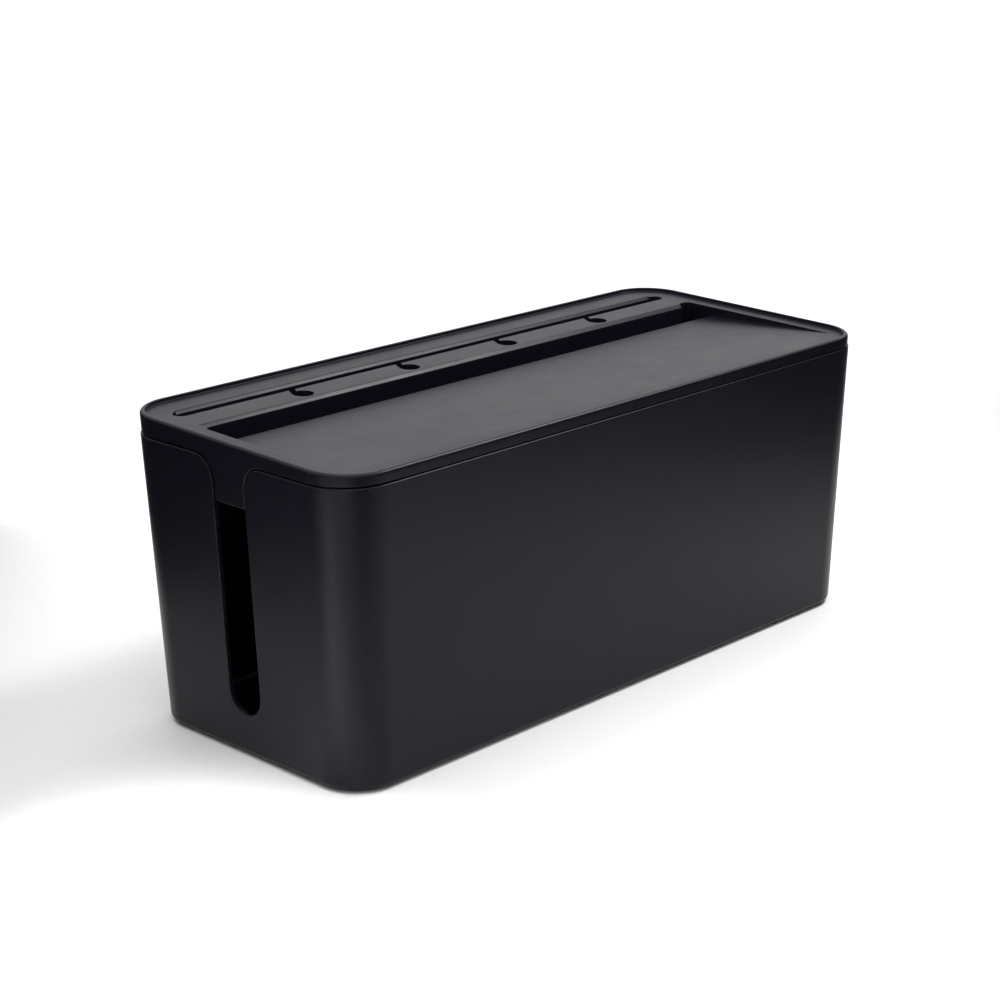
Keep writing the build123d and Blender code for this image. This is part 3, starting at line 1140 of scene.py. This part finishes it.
    def _cut_rest(self, lid: Workpiece) -> None:
        """Cut the sloping panel, the groove and the lead notch."""
        half = self.half_length - self.rest_from_end
        front = -self.half_width + self.rest_from_front
        back = self.half_width - self.groove_from_back
        step = back - self.groove_width
        floor = self._groove_floor()
        high = self.shape.high.z + REACH
        middle = (step + back) / 2
        panel = Workpiece.box("panel_cut", (-half, front, floor), (half, middle, high))
        point, up = self._panel_plane()
        lid.cut(panel.trim(point, -up))
        deck_z = self.top_z(back, self.lip_height)
        spread = self.groove_draft * (high - deck_z) / (deck_z - floor)
        groove = Workpiece.box("groove_cut", (-half, step - spread, floor), (half, back + spread, high))
        groove.edit()
        groove.pick_faces(lambda place, normal: normal.z < -LEVEL)
        narrow = (self.groove_width - 2 * self.groove_draft) / (self.groove_width + 2 * spread)
        bpy.ops.transform.resize(value=(1.0, narrow, 1.0), center_override=(0.0, middle, floor))
        groove.done()
        groove.round_edges(
            lambda a, b: min(a.y, b.y) > back - 2 * self.groove_draft and abs(a.z - b.z) > NEAR and a.x < 0,
            self.rest_corner,
            ARC_STEPS,
        )
        groove.add(self._notch(0.0, floor, high))
        lid.cut(groove)
        left = self.rest_corner * BEVEL_START - half
        right = half - self.notch_width + self.notch_corner / 2
        lid.cut(self._back_bevel(back, left, right, self.groove_bevel))

    def _back_bevel(self, y: float, left: float, right: float, size: float) -> Workpiece:
        """A bar on its edge that bevels a back edge of the deck.

        Args:
            y: where the edge is.
            left: X where the bevel starts.
            right: X where it ends.
            size: the bevel's width.

        Returns:
            The cutter.
        """
        side = BAR_SIDE * size
        edge = Vector(((left + right) / 2, y, self.top_z(y, self.lip_height)))
        centre = edge + Vector((0.0, -1.0, 1.0)).normalized() * (side / 2 - size / math.sqrt(2))
        half = Vector(((right - left) / 2, side / 2, side / 2))
        bar = Workpiece.box("back_bevel", centre - half, centre + half)
        bar.edit()
        bpy.ops.mesh.select_all(action="SELECT")
        bpy.ops.transform.rotate(value=math.pi / 4, orient_axis="X", center_override=centre)
        bar.done()
        return bar

    def _lead_bar(self, grow: float, low_z: float) -> Workpiece:
        """The lead slot's plan as a block, grown all round, from a height up."""
        half = self.half_length - self.lead_from_end
        radius = self.lead_width / 2 + grow
        y = self.half_width - self.lead_from_back
        high = low_z + 2 * REACH
        bar = Workpiece.box("lead_bar", (-half - grow, y - radius, low_z), (half + grow, y + radius, high))
        bar.round_edges(lambda a, b: abs(a.z - b.z) > NEAR, radius - NEAR, ARC_STEPS)
        return bar

    def _cut_leads(self, lid: Workpiece) -> None:
        """Cut the lead slot and its curled hooks, and bevel the slot's back edge."""
        y = self.half_width - self.lead_from_back
        low_z = self.shape.high.z - REACH / 2
        lid.cut(self._lead_bar(0.0, low_z))
        for x in self._hook_places():
            lid.cut(self._hook(x, y, low_z))
        half = self.half_length - self.lead_from_end - self.lead_width / 2
        lid.cut(self._back_bevel(y + self.lead_width / 2, -half, half, self.lead_bevel))

    def _hook_places(self) -> list[float]:
        """The hooks' X positions."""
        return [(index - (self.hook_count - 1) / 2) * self.hook_pitch for index in range(self.hook_count)]

    def _on_hook(self, a: Vector, b: Vector) -> bool:
        """Whether an edge belongs to a hook, in front of the lead slot.

        Args:
            a: one end of the edge.
            b: the other end.

        Returns:
            True for such an edge.
        """
        slot_front = self.half_width - self.lead_from_back - self.lead_width / 2
        hole_front = slot_front + self.lead_width / 2 - self.hook_from_slot - self.hook_radius
        middle = (a + b) / 2
        near = any(abs(middle.x - x) < self.hook_radius + NEAR_WALL for x in self._hook_places())
        return near and hole_front - NEAR_WALL < middle.y < slot_front - NEAR

    def _hook(self, x: float, slot_y: float, low_z: float) -> Workpiece:
        """One lead hook: a round hole with a neck that comes down its left side.

        Args:
            x: the hole's middle.
            slot_y: middle of the lead slot.
            low_z: the cutter's bottom.

        Returns:
            The cutter.
        """
        hole_y = slot_y - self.hook_from_slot
        side = self.hook_radius - self.hook_neck / 2
        hole = Workpiece.drum("hook_hole", (x, hole_y, low_z + REACH), self.hook_radius, 2 * REACH)
        start = (x + side / 2, slot_y, low_z)
        square = primitive(bpy.ops.mesh.primitive_plane_add, size=1.0, location=start)
        neck = Workpiece("hook_neck", square)
        neck.edit()
        bpy.ops.mesh.select_all(action="SELECT")
        step = self.hook_from_slot / NECK_STEPS
        bpy.ops.transform.resize(value=(self.hook_neck, step, 1.0), center_override=start)
        neck.pick_edges(lambda a, b: max(a.y, b.y) < slot_y)
        drift = 0.0
        for index in range(NECK_STEPS):
            share = (index + 1) / NECK_STEPS
            curl = NECK_START * share * (1 - share) ** 2 + share * share * (3 - 2 * share)
            move = Vector((-NECK_LEAN * side * curl - drift, -step, 0.0))
            drift += move.x
            bpy.ops.mesh.extrude_edges_move(TRANSFORM_OT_translate={"value": move})
        bpy.ops.mesh.select_all(action="SELECT")
        neck.push(2 * REACH)
        bpy.ops.mesh.select_all(action="SELECT")
        bpy.ops.mesh.normals_make_consistent(inside=False)
        neck.done()
        return hole.add(neck)


@dataclass
class Foot:
    """One round rubber foot with an eased rim and a shallow dish underneath.

    Attributes:
        node: the foot's name in the frame.
        edge: radius of the bottom edge.
        dish_inset: width of the ring round the dish.
        dish_depth: depth of the dish.
    """

    node: str
    edge: float = 0.4 * MM
    dish_inset: float = 1.6 * MM
    dish_depth: float = 0.25 * MM

    def build(self) -> bpy.types.Object:
        """Model the foot and return it."""
        low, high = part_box(self.node)
        foot = Workpiece.drum(self.node + "_pad", (low + high) / 2, (high.x - low.x) / 2, high.z - low.z)
        foot.round_edges(lambda a, b: max(a.z, b.z) < low.z + NEAR, self.edge, EDGE_STEPS)
        foot.edit()
        foot.pick_faces(lambda place, normal: normal.z < -LEVEL and place.z < low.z + NEAR)
        bpy.ops.mesh.inset(thickness=self.dish_inset)
        foot.push(self.dish_depth)
        bpy.ops.transform.resize(
            value=(DISH_TAPER, DISH_TAPER, 1.0),
            center_override=((low.x + high.x) / 2, (low.y + high.y) / 2, low.z + self.dish_depth),
        )
        foot.done()
        foot.ease(self.dish_depth * DISH_ROUND, DISH_STEPS)
        foot.smooth()
        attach(foot.made, "tub")
        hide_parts(self.node)
        return foot.made


def main() -> None:
    """Build the object and the studio."""
    logging.basicConfig(level=logging.INFO)
    Studio().build()
    shape = TrayShape()
    tub_plastic = MouldedPlastic("tub_plastic").make()
    lid_plastic = MouldedPlastic("lid_plastic").make()
    rubber = FootRubber().make()
    made = [(Tub(shape).build(), tub_plastic), (Lid(shape).build(), lid_plastic)]
    made += [(Foot(name).build(), rubber) for name in FEET]
    for piece, material in made:
        piece.data.materials.clear()
        piece.data.materials.append(material)
        log.info("%s: %d faces", piece.name, len(piece.data.polygons))


if __name__ == "__main__":
    main()
